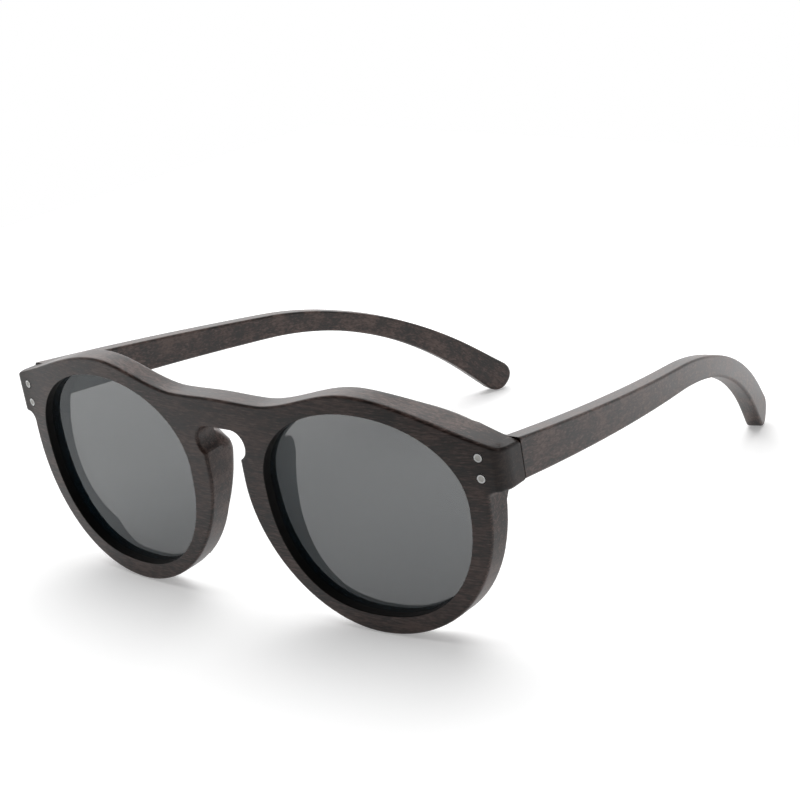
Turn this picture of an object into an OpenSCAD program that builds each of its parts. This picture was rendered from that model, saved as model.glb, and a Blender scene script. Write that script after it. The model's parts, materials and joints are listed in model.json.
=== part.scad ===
// Wooden sunglasses: a wrapped wooden front with a keyhole bridge, two tinted lenses and two
// wooden temples on sprung steel hinges. Millimetres, +Z up, the front faces -Y, resting open.
// The wearer's left is +X. Each side's pieces are drawn at +X and mirrored for the other side.

/* [Lens openings] */
// Width of a lens opening
lens_w = 50.4; // [46:0.1:55]
// Height of a lens opening
lens_h = 45.2; // [41:0.1:49]
// Distance between the two lens openings across the nose
lens_gap = 21.8; // [19:0.1:25]
// Distance from an opening's nose side to its lowest and highest points
lens_apex = 24.7; // [22:0.1:27]
// Height of an opening's widest line above its lowest point
lens_waist = 26.9; // [25:0.1:28]
// Squareness of an opening above its widest line, where 2 is an ellipse
open_curve_up = 2.05; // [1.9:0.05:2.5]
// Squareness of an opening below its widest line, where 2 is an ellipse
open_curve_down = 2.3; // [1.9:0.05:2.5]

/* [Lenses] */
// Thickness of a lens
lens_t = 2; // [1.6:0.1:2.4]
// Depth of a lens's front face behind the front surface
lens_set = 2.1; // [1.6:0.1:2.4]
// Depth of the groove that holds a lens's edge
groove_d = 0.8; // [0.5:0.1:1.2]
// Clearance round a lens in its groove
lens_fit = 0.05; // [0.03:0.01:0.1]

/* [Front] */
// Thickness of the rims and the bridge
rim_t = 5.4; // [5:0.1:6.5]
// Radius of the front's wrap around the face
wrap_r = 385; // [300:1:450]
// Forward lean of the front as the glasses rest open
front_tilt = 4.9; // [3:0.1:7]
// Width of the rim under a lens
rim_low = 4.3; // [3.5:0.1:5.5]
// Width of the rim above a lens
rim_top = 4.15; // [3.5:0.05:5.5]
// Width of the rim beside a lens at the temple side
rim_side = 4.6; // [4:0.1:6]
// Width of the rim beside a lens at the nose side
rim_nose = 5.9; // [4.5:0.1:6.5]
// Squareness of the rim's outer edge below the widest line at the temple side
rim_curve_side = 2.1; // [1.9:0.05:2.5]
// Squareness of the rim's outer edge below the widest line at the nose side
rim_curve_nose = 1.9; // [1.8:0.05:2.2]

/* [Bridge] */
// Height of the bridge above the keyhole
bridge_h = 6.9; // [5:0.1:9]
// Distance of the keyhole's top below the top of the lens openings
key_drop = 7.1; // [5.5:0.1:8]
// Height of the keyhole's round end
key_h = 7; // [6:0.1:8]
// How far the keyhole widens past its neck on each side
key_flare = 1.8; // [1:0.1:2.4]
// Distance from the middle to the lowest point of the top edge
dip_x = 11.5; // [9:0.5:15]
// Depth of that low point below the bridge's top
dip_h = 0.3; // [0.1:0.1:1]

/* [End pieces] */
// How far an end piece reaches past the rim
end_reach = 4.4; // [4:0.1:6]
// Height of an end piece on its front face
end_h = 9.5; // [9:0.1:10]
// Distance of an end piece's top below the top of the lens openings
end_drop = 4.8; // [4:0.1:7]
// Depth of an end piece's side face
end_depth = 6.4; // [5.6:0.1:7]
// Rounding between the front face and the side face
end_corner = 2.6; // [1.5:0.1:3]
// Rounding of the end piece's corners seen from the front
end_edge = 1; // [0.5:0.1:1.5]
// Fillet between the end piece's underside and the rim
end_fillet = 1.8; // [1:0.1:2.4]
// Length of the thick part of an end piece, inwards from its side face
end_block = 10.2; // [9.5:0.1:11.5]
// Length of the slope from the thick part to the rim, along the brow
end_ramp = 19.7; // [14:0.1:24]
// Height above the rim's bottom where the rim starts to thicken towards the end piece
block_foot = 10; // [6:0.5:20]
// Angle by which that thicker part leans to the rim's outer edge
block_lean = 7; // [3:0.5:9]
// Slope of the brow where it meets the end piece
brow_fall = 15; // [8:1:18]
// Backward slope of the end piece's top
end_droop = 5; // [1:0.5:6]

/* [Nose pads] */
// Height of a pad's crest behind the rim, at its lens side
pad_crest = 6.8; // [5:0.1:7.5]
// How much lower a pad is at its nose side
pad_drop = 3.3; // [2:0.1:4]
// Distance of the crest below the keyhole's top
pad_crest_drop = 9.1; // [8:0.1:10]
// Distance of a pad's upper end below the keyhole's top
pad_end_drop = 2.4; // [2:0.1:3]
// Height of a pad's lower end above the rim's bottom
pad_foot = 7.5; // [6:0.5:12]
// Thickness of a pad at its two ends
pad_lip = 0.35; // [0.25:0.05:0.6]
// Glue line between a pad and the rim
pad_glue = 0.02; // [0.01:0.01:0.05]

/* [Temples] */
// Thickness of a temple
temple_t = 4.2; // [4:0.1:4.7]
// Height of a temple at the hinge
temple_h = 8.9; // [8.4:0.1:9.2]
// Height of a temple at its slimmest
waist_h = 5.1; // [4.2:0.1:6]
// Distance of the slimmest place from the hinge pin
waist_at = 89; // [85:1:100]
// Height of a temple at its tip
tip_h = 7.8; // [7:0.1:9]
// Squareness of a temple's tip, where 2 is round
tip_curve = 2.2; // [2:0.1:3]
// Length from the hinge pin to the start of the bend
temple_straight = 66.8; // [60:0.1:80]
// Radius of the bend over the ear
bend_r = 104; // [85:1:115]
// Angle of the bend over the ear
bend_angle = 36.5; // [30:0.5:40]
// Length of a temple beyond the bend
tip_len = 12.2; // [10:0.1:18]
// Inward angle of an open temple at the hinge
toe_in = 0.5; // [0.1:0.1:2]
// Radius of a temple's inward bow seen from above
bow_r = 360; // [320:1:450]
// Rounding of a temple's long edges
edge_r = 0.8; // [0.5:0.1:1.6]
// Gap at the seam between an end piece and its temple
seam = 0.25; // [0.2:0.01:0.4]
// Height of a temple's underside above the end piece's underside at the seam
seam_step = 0.1; // [0.05:0.05:0.4]

/* [Hinges] */
// Diameter of the hinge screw's shank
pin_d = 1.4; // [1.2:0.1:1.5]
// Diameter of a hinge knuckle
knuckle_d = 3; // [2.8:0.1:3.2]
// Height of one knuckle
knuckle_h = 2; // [1.9:0.1:2.1]
// Gap between neighbouring knuckles
knuckle_gap = 0.06; // [0.04:0.01:0.1]
// Running clearance of a pin or rod in its hole, on the radius
run_fit = 0.04; // [0.02:0.01:0.06]
// Distance of the pin's axis inwards from the end piece's side face
pin_in = 5.5; // [5.3:0.1:5.7]
// Distance of the pin's axis behind the end piece's rear face
pin_back = 1.75; // [1.7:0.05:1.9]
// Thickness of the hinge leaf on the front
leaf_t = 0.9; // [0.7:0.1:1.1]
// Width of the hinge leaf
leaf_w = 5.2; // [5:0.1:5.6]
// Height of the hinge leaf
leaf_h = 7.4; // [7.2:0.1:7.6]
// Height of the leaf's middle above the middle of the hinge pin
leaf_rise = 0.4; // [0.35:0.05:0.45]
// Thickness of the web between leaf and knuckles
web_t = 0.65; // [0.5:0.05:0.7]
// Clearance of metal let into wood
inlay_fit = 0.05; // [0.03:0.01:0.1]
// Clearance of the wood around the turning knuckles
swing_fit = 0.25; // [0.2:0.05:0.4]
// Width of the shuttle's neck between knuckle and housing
neck_w = 1.8; // [1.6:0.1:2]
// Height of the shuttle's neck
neck_h = 1.4; // [1.2:0.1:1.6]
// Diameter of the hinge screw's head
pin_head_d = 2.4; // [2.1:0.1:2.6]
// Height of the hinge screw's head
pin_head_h = 0.4; // [0.3:0.05:0.5]

/* [Springs] */
// Travel of a temple against its spring
travel = 1.6; // [1:0.1:1.8]
// Width of a spring housing
housing_w = 3.4; // [3.2:0.1:3.6]
// Height of a spring housing
housing_h = 4; // [3.6:0.1:4.4]
// Length of a spring housing's box
housing_len = 9; // [8:0.1:10]
// Distance of a housing's front behind the pin's axis
housing_at = 2.6; // [2.4:0.1:2.8]
// Thickness of a housing's front wall
housing_wall = 1; // [0.8:0.1:1.2]
// Diameter of the bore that holds the spring
housing_bore = 2.3; // [2.2:0.05:2.5]
// Length of the tab that fixes a housing to its temple
tab_len = 6.8; // [6.4:0.1:7.6]
// Thickness of the tab
tab_t = 0.9; // [0.7:0.1:1.1]
// Diameter of the shuttle's rod
rod_d = 1; // [0.9:0.05:1.1]
// Diameter of the nut on the rod
nut_d = 2; // [1.9:0.05:2.1]
// Length of the nut
nut_len = 0.9; // [0.7:0.1:1.1]
// Diameter of the spring's wire
spring_wire = 0.28; // [0.24:0.01:0.3]
// Diameter of the spring at the middle of its wire
spring_d = 1.66; // [1.6:0.02:1.7]
// Number of the spring's turns
spring_turns = 6; // [4:1:6]
// Clearance at each end of the spring
spring_fit = 0.02; // [0.01:0.01:0.05]

/* [Fasteners] */
// Diameter of a rivet's head on the front face
rivet_head_d = 2.2; // [2:0.1:2.6]
// Thickness of a rivet's head
rivet_head_h = 0.7; // [0.5:0.1:1]
// How far a rivet's head stands out of the front face
rivet_proud = 0.08; // [0.02:0.02:0.2]
// Diameter of a rivet's shank
rivet_d = 1.6; // [1.4:0.1:1.8]
// Distance of the rivets inwards from the end piece's side face
rivet_in = 5.2; // [5:0.1:5.6]
// Height of the rivets' middle above the end piece's middle
rivet_rise = 0.45; // [0.3:0.05:0.5]
// Distance between the two rivets
rivet_gap = 4.5; // [4:0.05:4.8]
// Diameter of a housing screw's head
screw_head_d = 2; // [1.8:0.1:2.2]
// Height of a housing screw's head
screw_head_h = 0.4; // [0.3:0.1:0.5]
// Diameter of a housing screw's shank
screw_d = 1.1; // [0.9:0.1:1.2]
// Depth of a housing screw in the wood
screw_bite = 1.4; // [1:0.1:1.7]
// Distance between the two housing screws
screw_gap = 4.2; // [3.8:0.1:4.4]
// Width of the slot in a screw's head
slot_w = 0.4; // [0.3:0.05:0.5]
// Depth of the slot in a screw's head
slot_d = 0.2; // [0.15:0.05:0.25]

/* [Hidden] */

wood = "#3d2b25";
tint = "#6c7174";
steel = "#b9bbbd";
dark_steel = "#3a3a3c";

// Smoothness of round holes, pins and heads
$fn = 48;
// Length that carries a cut past the faces it opens
past = 5;
// Steps along the curves of the front
open_steps = 72;
brow_steps = 48;
rim_steps = 18;
corner_steps = 5;
key_steps = 12;
wrap_steps = 18;
ramp_steps = 8;
// First angle of an arc whose start point the curve before it already holds
corner_next = 90 - 90 / corner_steps;
rim_next = 90 + 90 / rim_steps;

// Places on the front, in its own plane: x sideways from the middle, v up from the rim's bottom
lens_x = lens_gap / 2 + lens_apex;
lens_v = rim_low + lens_waist;
lens_top = rim_low + lens_h;
rim_x = lens_gap / 2 + lens_w + rim_side;
neck_x = lens_gap / 2 - rim_nose;
half_w = rim_x + end_reach;
key_r = key_h / 2;
key_x = neck_x + key_flare - key_r;
key_top = lens_top - key_drop;
key_v = key_top - key_r;
key_angle = acos((neck_x - key_x) / key_r);
neck_top = key_v - key_r * sin(key_angle);
bridge_top = key_top + bridge_h;
dip_top = bridge_top - dip_h;
peak_top = lens_top + rim_top;
end_top = lens_top - end_drop;
end_bottom = end_top - end_h;
brow_end = half_w - end_edge;

// Places through the front: w backwards from the front surface at the middle
seam_w = wrap(half_w, 0) + end_depth;
corner_turn = asin((half_w - end_corner) / (wrap_r - end_corner));
corner_w = wrap_r - (wrap_r - end_corner) * cos(corner_turn);
rear_turn = asin(half_w / (wrap_r - rim_t));
block_x = half_w - end_block;
ramp_x = block_x - end_ramp;
rivet_turn = asin((half_w - rivet_in) / wrap_r);
rivet_v = (end_top + end_bottom) / 2 + rivet_rise;

// The hinge pin on the front
pin_x = half_w - pin_in;
pin_w = seam_w + pin_back;
pin_v = end_bottom + seam_step + temple_h / 2;
pin_r = pin_d / 2;
knuckle_r = knuckle_d / 2;
stack_h = knuckle_h * 3 + knuckle_gap * 2;

// The temple's line in its own plane, from the pin: t along, u up
bend_end = temple_straight + bend_r * bend_angle * PI / 180;
temple_end = bend_end + tip_len;
tip_r = tip_h / 2;
tip_at = temple_end - tip_r;
tip_reach = norm(spine(tip_at));
tip_fall = atan2(-spine(tip_at)[1], spine(tip_at)[0]);
// How far a tip reaches down or back from its centre, when the temple droops by an angle
tip_power = tip_curve / (tip_curve - 1);
function power_sum(angle) = pow(cos(angle), tip_power) + pow(sin(angle), tip_power);
function tip_extent(angle) = tip_r * pow(power_sum(bend_angle + angle), 1 / tip_power);
// How much less it reaches back, where its last section is thinner and turned in plan
tip_turn = 80;
tip_short = edge_r * (1 - cos(tip_turn)) * sin(bow_turn(tip_reach));

// Resting place: the rims and the temple tips stand on z = 0, and y = 0 is midway
rest_z = -wrap(lens_x, 0) * sin(front_tilt);
pin_z = rest_z + pin_v * cos(front_tilt) + pin_w * sin(front_tilt);
settle_steps = 8;
function settle(angle, steps) =
    steps == 0 ? angle :
    settle(asin((pin_z - tip_extent(angle)) / tip_reach) - tip_fall, steps - 1);
droop = settle(0, settle_steps);
pin_front = pin_w * cos(front_tilt) - pin_v * sin(front_tilt);
rear_y = pin_front + tip_reach * cos(droop + tip_fall) + tip_extent(droop) - tip_short;
front_y = -bridge_top * sin(front_tilt);
rest_y = -(rear_y + front_y) / 2;
pin_y = pin_front + rest_y;

// Places along the spring housing, from the pin, and its turn in plan to follow the temple's inner face
housing_turn = bow_turn(housing_at + housing_len / 2 + pin_back);
bore_at = housing_at + housing_wall;
housing_end = housing_at + housing_len;
nut_at = housing_end - travel - nut_len;
tab_in = housing_w / 2 - tab_t;
screw_at = housing_end + (tab_len - screw_gap) / 2;
spring_from = bore_at + spring_wire / 2 + spring_fit;
spring_to = nut_at - spring_wire / 2 - spring_fit;

// Depth of the wrapped surface that lies deep behind the front surface, at x
function wrap(x, deep) = wrap_r - sqrt(pow(wrap_r - deep, 2) - x * x);
function wrap_point(turn, deep) = [(wrap_r - deep) * sin(turn), wrap_r - (wrap_r - deep) * cos(turn)];
function ease(t) = t * t * (3 - 2 * t);
function mix(a, b, t) = a + (b - a) * t;
function signed_power(value, power) = sign(value) * pow(abs(value), power);
function arc(cx, cy, r, from, to, steps) = [
    for (i = [0:steps]) let (a = mix(from, to, i / steps)) [cx + r * cos(a), cy + r * sin(a)]
];
function power_arc(cx, cy, rx, ry, curve, from, to, steps) = [
    for (i = [0:steps])
        let (a = mix(from, to, i / steps))
            [cx + rx * signed_power(cos(a), 2 / curve), cy + ry * signed_power(sin(a), 2 / curve)]
];
function reversed(list) = [for (i = [len(list) - 1:-1:0]) list[i]];
function mirrored(list) = [for (p = reversed(list)) [-p[0], p[1]]];

// Outline of a lens opening, grown by a margin
function opening(margin) = [
    for (i = [0:open_steps - 1])
        let (a = 360 * i / open_steps,
             rx = (cos(a) > 0 ? lens_w - lens_apex : lens_apex) + margin,
             ry = (sin(a) > 0 ? lens_h - lens_waist : lens_waist) + margin,
             power = 2 / (sin(a) > 0 ? open_curve_up : open_curve_down))
            [lens_x + rx * signed_power(cos(a), power), lens_v + ry * signed_power(sin(a), power)]
];

// Top edge of the front: a low place beside the bridge, a peak over the lens, a fall to the end piece
function brow_tail(t) =
    mix(peak_top, end_top, ease(t)) + (brow_end - lens_x) * tan(brow_fall) * t * t * (1 - t);
function brow(x) =
    x < dip_x ? mix(bridge_top, dip_top, ease(x / dip_x)) :
    x < lens_x ? mix(dip_top, peak_top, ease((x - dip_x) / (lens_x - dip_x))) :
    brow_tail((x - lens_x) / (brow_end - lens_x));

brow_stations = [for (i = [0:brow_steps]) brow_end * i / brow_steps];
half_outline = concat(
    [for (x = brow_stations) [x, brow(x)]],
    arc(brow_end, end_top - end_edge, end_edge, corner_next, 0, corner_steps - 1),
    arc(brow_end, end_bottom + end_edge, end_edge, 0, -90, corner_steps),
    arc(rim_x + end_fillet, end_bottom - end_fillet, end_fillet, 90, 180, corner_steps),
    power_arc(lens_x, lens_v, rim_x - lens_x, lens_v, rim_curve_side, 0, -90, rim_steps),
    power_arc(lens_x, lens_v, lens_x - neck_x, lens_v, rim_curve_nose, -rim_next, -180, rim_steps - 1),
    arc(key_x, key_v, key_r, -key_angle, 90, key_steps)
);

// Wrapped shell of the front seen from above, cut off at the seam plane
half_shell = concat(
    [for (i = [0:wrap_steps]) wrap_point(corner_turn * i / wrap_steps, 0)],
    arc(half_w - end_corner, corner_w, end_corner, corner_turn - corner_next, 0, corner_steps - 1),
    [for (i = [wrap_steps:-1:0]) wrap_point(rear_turn * i / wrap_steps, rim_t)]
);
front_half_shell = [for (i = [0:len(half_shell) - wrap_steps - 2]) half_shell[i]];
rear_half_shell = [for (i = [len(half_shell) - wrap_steps - 1:len(half_shell) - 1]) half_shell[i]];
shell = concat(
    front_half_shell,
    rear_half_shell,
    [for (p = mirrored(rear_half_shell)) if (p[0] < 0) p],
    [for (p = mirrored(front_half_shell)) if (p[0] < 0) p]
);
// Thick part of an end piece: its plan slopes down to the rim along the brow, and its side view
// slopes down to the rim below the end piece
end_block_plan = concat(
    [for (i = [0:ramp_steps])
        let (t = i / ramp_steps, x = mix(ramp_x, block_x, t)) [x, mix(wrap(x, rim_t), seam_w, ease(t))]],
    [[block_x, seam_w + past], [half_w + past, seam_w + past], [half_w + past, seam_w],
     [ramp_x, wrap(ramp_x, rim_t / 2)]]
);
end_block_side = [
    [0, block_foot], [wrap(block_x, rim_t), block_foot], [seam_w, end_bottom - end_fillet],
    [seam_w + past, end_bottom - end_fillet], [seam_w + past, peak_top + past], [0, peak_top + past]
];

// Band between two depths behind the front surface, over one lens
function band(near, far) = concat(
    [for (i = [0:wrap_steps]) wrap_point(rear_turn * i / wrap_steps, near)],
    [for (i = [wrap_steps:-1:0]) wrap_point(rear_turn * i / wrap_steps, far)]
);

// The top of each end piece slopes back from just behind its front edge: this cap comes down to the
// brow where the thick part starts
cap_lip = 0.1;
cap_full = (ramp_x + block_x) / 2;
function cap(x) =
    brow(x) + cap_lip - (wrap(half_w, 0) - wrap(x, 0)) * tan(end_droop)
    + end_depth * ease(max(0, (cap_full - x) / (cap_full - ramp_x)));
half_cap = concat(
    [[ramp_x, peak_top + past]],
    [for (x = brow_stations) if (x > ramp_x) [x, cap(x)]],
    [[half_w + past, end_top + cap_lip], [half_w + past, -past]]
);

// Nose edge of the rim and of the lens opening at height v
function nose_edge(v) =
    v < lens_v ?
        lens_x - (lens_x - neck_x) * pow(1 - pow(1 - v / lens_v, rim_curve_nose), 1 / rim_curve_nose) :
    v < neck_top ? neck_x :
    key_x + sqrt(key_r * key_r - pow(v - key_v, 2));
function lens_edge(v) =
    let (curve = v > lens_v ? open_curve_up : open_curve_down,
         share = abs(v - lens_v) / (v > lens_v ? lens_h - lens_waist : lens_waist))
        lens_x - lens_apex * pow(1 - pow(share, curve), 1 / curve);

// Nose pad: rings at rising heights, each a flat foot on the rim and a rounded back that leans to the nose
pad_rings = 14;
pad_round = 12;
pad_foot_steps = 4;
pad_soft = 5;
pad_peak_v = key_top - pad_crest_drop;
pad_end_v = key_top - pad_end_drop;
function pad_height(v) = pad_lip + (pad_crest - pad_lip) * (
    v < pad_peak_v ? (v - pad_foot) / (pad_peak_v - pad_foot) :
    sqrt(1 - pow((v - pad_peak_v) / (pad_end_v - pad_peak_v), 2))
);
function pad_ring(v) =
    let (low = nose_edge(v) + pad_glue, high = lens_edge(v) - pad_glue,
         mid = (low + high) / 2, half = (high - low) / 2,
         crest = pad_height(v), nose = max(pad_lip, crest - pad_drop))
        concat(
            [for (i = [0:pad_round])
                let (a = 180 * i / pad_round, side = signed_power(cos(a), 2 / pad_soft),
                     stands = mix(nose, crest, (1 + side) / 2) * signed_power(sin(a), 2 / pad_soft),
                     x = mid + half * side)
                    [x, wrap(x, rim_t) + pad_glue + stands, v]],
            [for (i = [1:pad_foot_steps - 1])
                let (x = mix(low, high, i / pad_foot_steps)) [x, wrap(x, rim_t) + pad_glue, v]]
        );

// Closed skin over rings of equally many points
function ring_skin(rings) =
    let (count = len(rings[0]), last = len(rings) - 1)
        concat(
            [[for (k = [0:count - 1]) k]],
            [for (i = [0:last - 1], k = [0:count - 1])
                let (n = (k + 1) % count) [i * count + k, (i + 1) * count + k, (i + 1) * count + n]],
            [for (i = [0:last - 1], k = [0:count - 1])
                let (n = (k + 1) % count) [i * count + k, (i + 1) * count + n, i * count + n]],
            [[for (k = [count - 1:-1:0]) last * count + k]]
        );
module skin(rings) {
    polyhedron(points = [for (ring = rings, p = ring) p], faces = ring_skin(rings), convexity = 6);
}

// Temple: rounded sections along a line that is straight, then bends down over the ear
ring_gap_straight = 8;
ring_gap_bend = 4;
tip_steps = 7;
section_steps = 4;
temple_from = -pin_back - past;
edge_share = 0.48;
taper_power = 1.1;
flare_power = 2;
function bend_turn(s) = min(max((s - temple_straight) / bend_r * 180 / PI, 0), bend_angle);
function spine(s) =
    let (turn = bend_turn(s), beyond = max(s - bend_end, 0))
        [min(s, temple_straight) + bend_r * sin(turn) + beyond * cos(bend_angle),
         -bend_r * (1 - cos(turn)) - beyond * sin(bend_angle)];
function bow(t) = t * tan(toe_in) + signed_power(t, 2) / (2 * bow_r);
function bow_turn(t) = atan(tan(toe_in) + abs(t) / bow_r);
function temple_height(s) =
    s < waist_at ?
        mix(waist_h, temple_h, pow(min(1, (waist_at - s) / (waist_at + pin_back)), taper_power)) :
    mix(waist_h, tip_h, pow((s - waist_at) / (tip_at - waist_at), flare_power));
function section(thick, high) =
    let (r = min(edge_r, edge_share * thick, edge_share * high))
        [for (corner = [0:3], i = [0:section_steps])
            let (a = 90 * corner + 90 * i / section_steps,
                 sx = corner == 0 || corner == 3 ? 1 : -1, sy = corner < 2 ? 1 : -1)
                [sx * (thick / 2 - r) + r * cos(a), sy * (high / 2 - r) + r * sin(a)]];
function temple_ring(s, thick, high) =
    let (at = spine(s), turn = bend_turn(s))
        [for (p = reversed(section(thick, high)))
            let (t = at[0] + p[1] * sin(turn), from_pin = t + pin_back,
                 inner = p[0] - temple_t / 2, in_plan = bow_turn(from_pin))
                [pin_in - bow(from_pin) + inner * cos(in_plan),
                 t + inner * sin(in_plan),
                 at[1] + p[1] * cos(turn)]];
straight_rings = ceil((temple_straight - temple_from) / ring_gap_straight);
bend_rings = ceil((tip_at - temple_straight) / ring_gap_bend);
temple_stations = concat(
    [for (i = [0:straight_rings - 1]) mix(temple_from, temple_straight, i / straight_rings)],
    [for (i = [0:bend_rings]) mix(temple_straight, tip_at, i / bend_rings)]
);
temple_rings = concat(
    [for (s = temple_stations) temple_ring(s, temple_t, temple_height(s))],
    [for (i = [1:tip_steps])
        let (a = tip_turn * i / tip_steps)
            temple_ring(tip_at + tip_r * pow(sin(a), 2 / tip_curve),
                        temple_t - 2 * edge_r * (1 - cos(a)),
                        tip_h * pow(cos(a), 2 / tip_curve))]
);

// Spring: one unbroken coil of wire round the rod
curl_rings = 8;
wire_sides = 6;
coil_steps = spring_turns * curl_rings;
function coil_point(i) =
    let (a = 360 * i / curl_rings)
        [spring_d / 2 * cos(a), mix(spring_from, spring_to, i / coil_steps), spring_d / 2 * sin(a)];
function coil_ring(i) =
    let (a = 360 * i / curl_rings, at = coil_point(i))
        [for (k = [0:wire_sides - 1])
            let (b = 360 * k / wire_sides, out = spring_wire / 2 * cos(b))
                [at[0] + out * cos(a), at[1] + spring_wire / 2 * sin(b), at[2] + out * sin(a)]];
coil_gaps = [for (i = [0:coil_steps - curl_rings]) norm(coil_point(i + curl_rings) - coil_point(i))];
echo(spring_least_gap = min(coil_gaps) - spring_wire);
echo(front_width = 2 * half_w, temple_length = temple_end, temple_droop = droop);

// Placement helpers
module on_side(side) {
    if (side > 0) children();
    else mirror([1, 0, 0]) children();
}
module on_front() {
    translate([0, rest_y, rest_z]) rotate([front_tilt, 0, 0]) children();
}
module at_pin() {
    translate([pin_x, pin_y, pin_z]) rotate([front_tilt, 0, 0]) children();
}
module along_temple() {
    translate([pin_x, pin_y, pin_z]) rotate([-droop, 0, 0]) children();
}
module along_housing() {
    along_temple() rotate([0, 0, housing_turn]) children();
}
// Extrudes an outline of the front's plane backwards between two depths
module through(near, far) {
    translate([0, far, 0]) rotate([90, 0, 0]) linear_extrude(far - near) children();
}
// Extrudes a plan up the front between two heights
module upright(low, high) {
    translate([0, 0, low]) linear_extrude(high - low) children();
}
// Extrudes a side view of an end piece sideways, past both of its ends, and leans it to the outer edge
module sideways() {
    translate([block_x, 0, 0]) rotate([0, 0, -block_lean]) translate([-end_ramp - past, 0, 0])
        rotate([90, 0, 90]) linear_extrude(end_ramp + end_block + 2 * past) children();
}
// A round bar along the temple between two distances from the pin
module rod_along(d, from, to) {
    translate([0, from, 0]) rotate([-90, 0, 0]) cylinder(d = d, h = to - from);
}
// Places children at both rivets, with +Z going into the wood at right angles to the front surface
module at_rivets() {
    at = wrap_point(rivet_turn, 0);
    for (up = [-1, 1])
        translate([at[0], at[1], rivet_v + up * rivet_gap / 2])
            rotate([0, 0, rivet_turn]) rotate([-90, 0, 0]) children();
}
// Places children at both housing screws, with +Z pointing out into the wood
module at_housing_screws() {
    for (i = [0, 1])
        translate([tab_in, screw_at + i * screw_gap, 0]) rotate([0, 90, 0]) children();
}
module leaf_block(margin) {
    wide = leaf_w + 2 * margin;
    high = leaf_h + 2 * margin;
    translate([knuckle_r + margin - wide, -pin_back - leaf_t, leaf_rise - high / 2])
        cube([wide, leaf_t + margin, high]);
}
module housing_block(margin) {
    wide = housing_w / 2 + margin;
    high = housing_h + 2 * margin;
    translate([-wide, housing_at - margin, -high / 2])
        cube([2 * wide, housing_len + 2 * margin, high]);
}
module tab_block(margin, inner) {
    high = housing_h + 2 * margin;
    translate([inner, housing_end - past, -high / 2])
        cube([housing_w / 2 + margin - inner, tab_len + past + margin, high]);
}

module front_frame() {
    color(wood) on_front() difference() {
        intersection() {
            union() {
                upright(-past, peak_top + past) polygon(shell);
                for (side = [-1, 1])
                    on_side(side) intersection() {
                        upright(0, peak_top) polygon(end_block_plan);
                        sideways() polygon(end_block_side);
                    }
            }
            through(-past, seam_w) polygon(concat(half_outline, mirrored(half_outline)));
            translate([0, wrap(half_w, 0), end_top]) rotate([-end_droop, 0, 0])
                translate([0, 0, -end_top])
                    through(-2 * past - seam_w, 2 * past) polygon(concat(half_cap, mirrored(half_cap)));
        }
        for (side = [-1, 1]) on_side(side) {
            through(-past, seam_w + past) polygon(opening(0));
            intersection() {
                through(-past, seam_w + past) polygon(opening(groove_d));
                upright(-past, peak_top) polygon(band(lens_set - lens_fit, lens_set + lens_t + lens_fit));
            }
            translate([pin_x, pin_w, pin_v]) leaf_block(inlay_fit);
            at_rivets() {
                translate([0, 0, -past]) cylinder(d = rivet_d + 2 * inlay_fit, h = 3 * past);
                translate([0, 0, -past])
                    cylinder(d = rivet_head_d + 2 * inlay_fit, h = past + rivet_head_h - rivet_proud);
            }
        }
    }
}

module lens() {
    color(tint) on_front() intersection() {
        through(-past, seam_w + past) polygon(opening(groove_d - lens_fit));
        upright(-past, peak_top) polygon(band(lens_set, lens_set + lens_t));
    }
}

module nose_pad() {
    color(wood) on_front()
        skin([for (i = [0:pad_rings]) pad_ring(mix(pad_foot, pad_end_v, i / pad_rings))]);
}

module front_rivets() {
    color(steel) on_front() intersection() {
        at_rivets() {
            translate([0, 0, -rivet_proud]) cylinder(d = rivet_head_d, h = rivet_head_h);
            cylinder(d = rivet_d, h = 2 * past);
        }
        translate([0, -past, 0]) cube([2 * half_w, seam_w + past, peak_top]);
    }
}

module hinge_leaf() {
    color(dark_steel) difference() {
        at_pin() {
            leaf_block(0);
            for (up = [-1, 1]) {
                low = up * (knuckle_h + knuckle_gap) - knuckle_h / 2;
                translate([0, 0, low]) cylinder(r = knuckle_r, h = knuckle_h);
                translate([knuckle_r - web_t, -pin_back - leaf_t / 2, low])
                    cube([web_t, pin_back + leaf_t / 2, knuckle_h]);
            }
        }
        at_pin() translate([0, 0, -stack_h]) cylinder(r = pin_r + run_fit, h = 2 * stack_h);
        on_front() at_rivets() cylinder(d = rivet_d + 2 * inlay_fit, h = 2 * past);
    }
}

module hinge_screw() {
    color(dark_steel) at_pin() difference() {
        union() {
            translate([0, 0, -stack_h / 2]) cylinder(r = pin_r, h = stack_h + pin_head_h);
            translate([0, 0, stack_h / 2]) cylinder(d = pin_head_d, h = pin_head_h);
        }
        translate([-pin_head_d, -slot_w / 2, stack_h / 2 + pin_head_h - slot_d])
            cube([2 * pin_head_d, slot_w, pin_head_h]);
    }
}

module hinge_shuttle() {
    neck_end = housing_at - knuckle_gap;
    color(dark_steel) difference() {
        union() {
            at_pin() translate([0, 0, -knuckle_h / 2]) cylinder(r = knuckle_r, h = knuckle_h);
            along_housing() {
                translate([-neck_w / 2, 0, -neck_h / 2]) cube([neck_w, neck_end, neck_h]);
                rod_along(rod_d, neck_end / 2, nut_at + nut_len);
            }
        }
        at_pin() translate([0, 0, -stack_h / 2]) cylinder(r = pin_r + run_fit, h = stack_h);
    }
}

module shuttle_nut() {
    color(dark_steel) along_housing() difference() {
        rod_along(nut_d, nut_at, nut_at + nut_len);
        rod_along(rod_d + 2 * spring_fit, nut_at - nut_len, nut_at + 2 * nut_len);
    }
}

module hinge_spring() {
    color(dark_steel) along_housing() skin([for (i = [0:coil_steps]) coil_ring(i)]);
}

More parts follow.
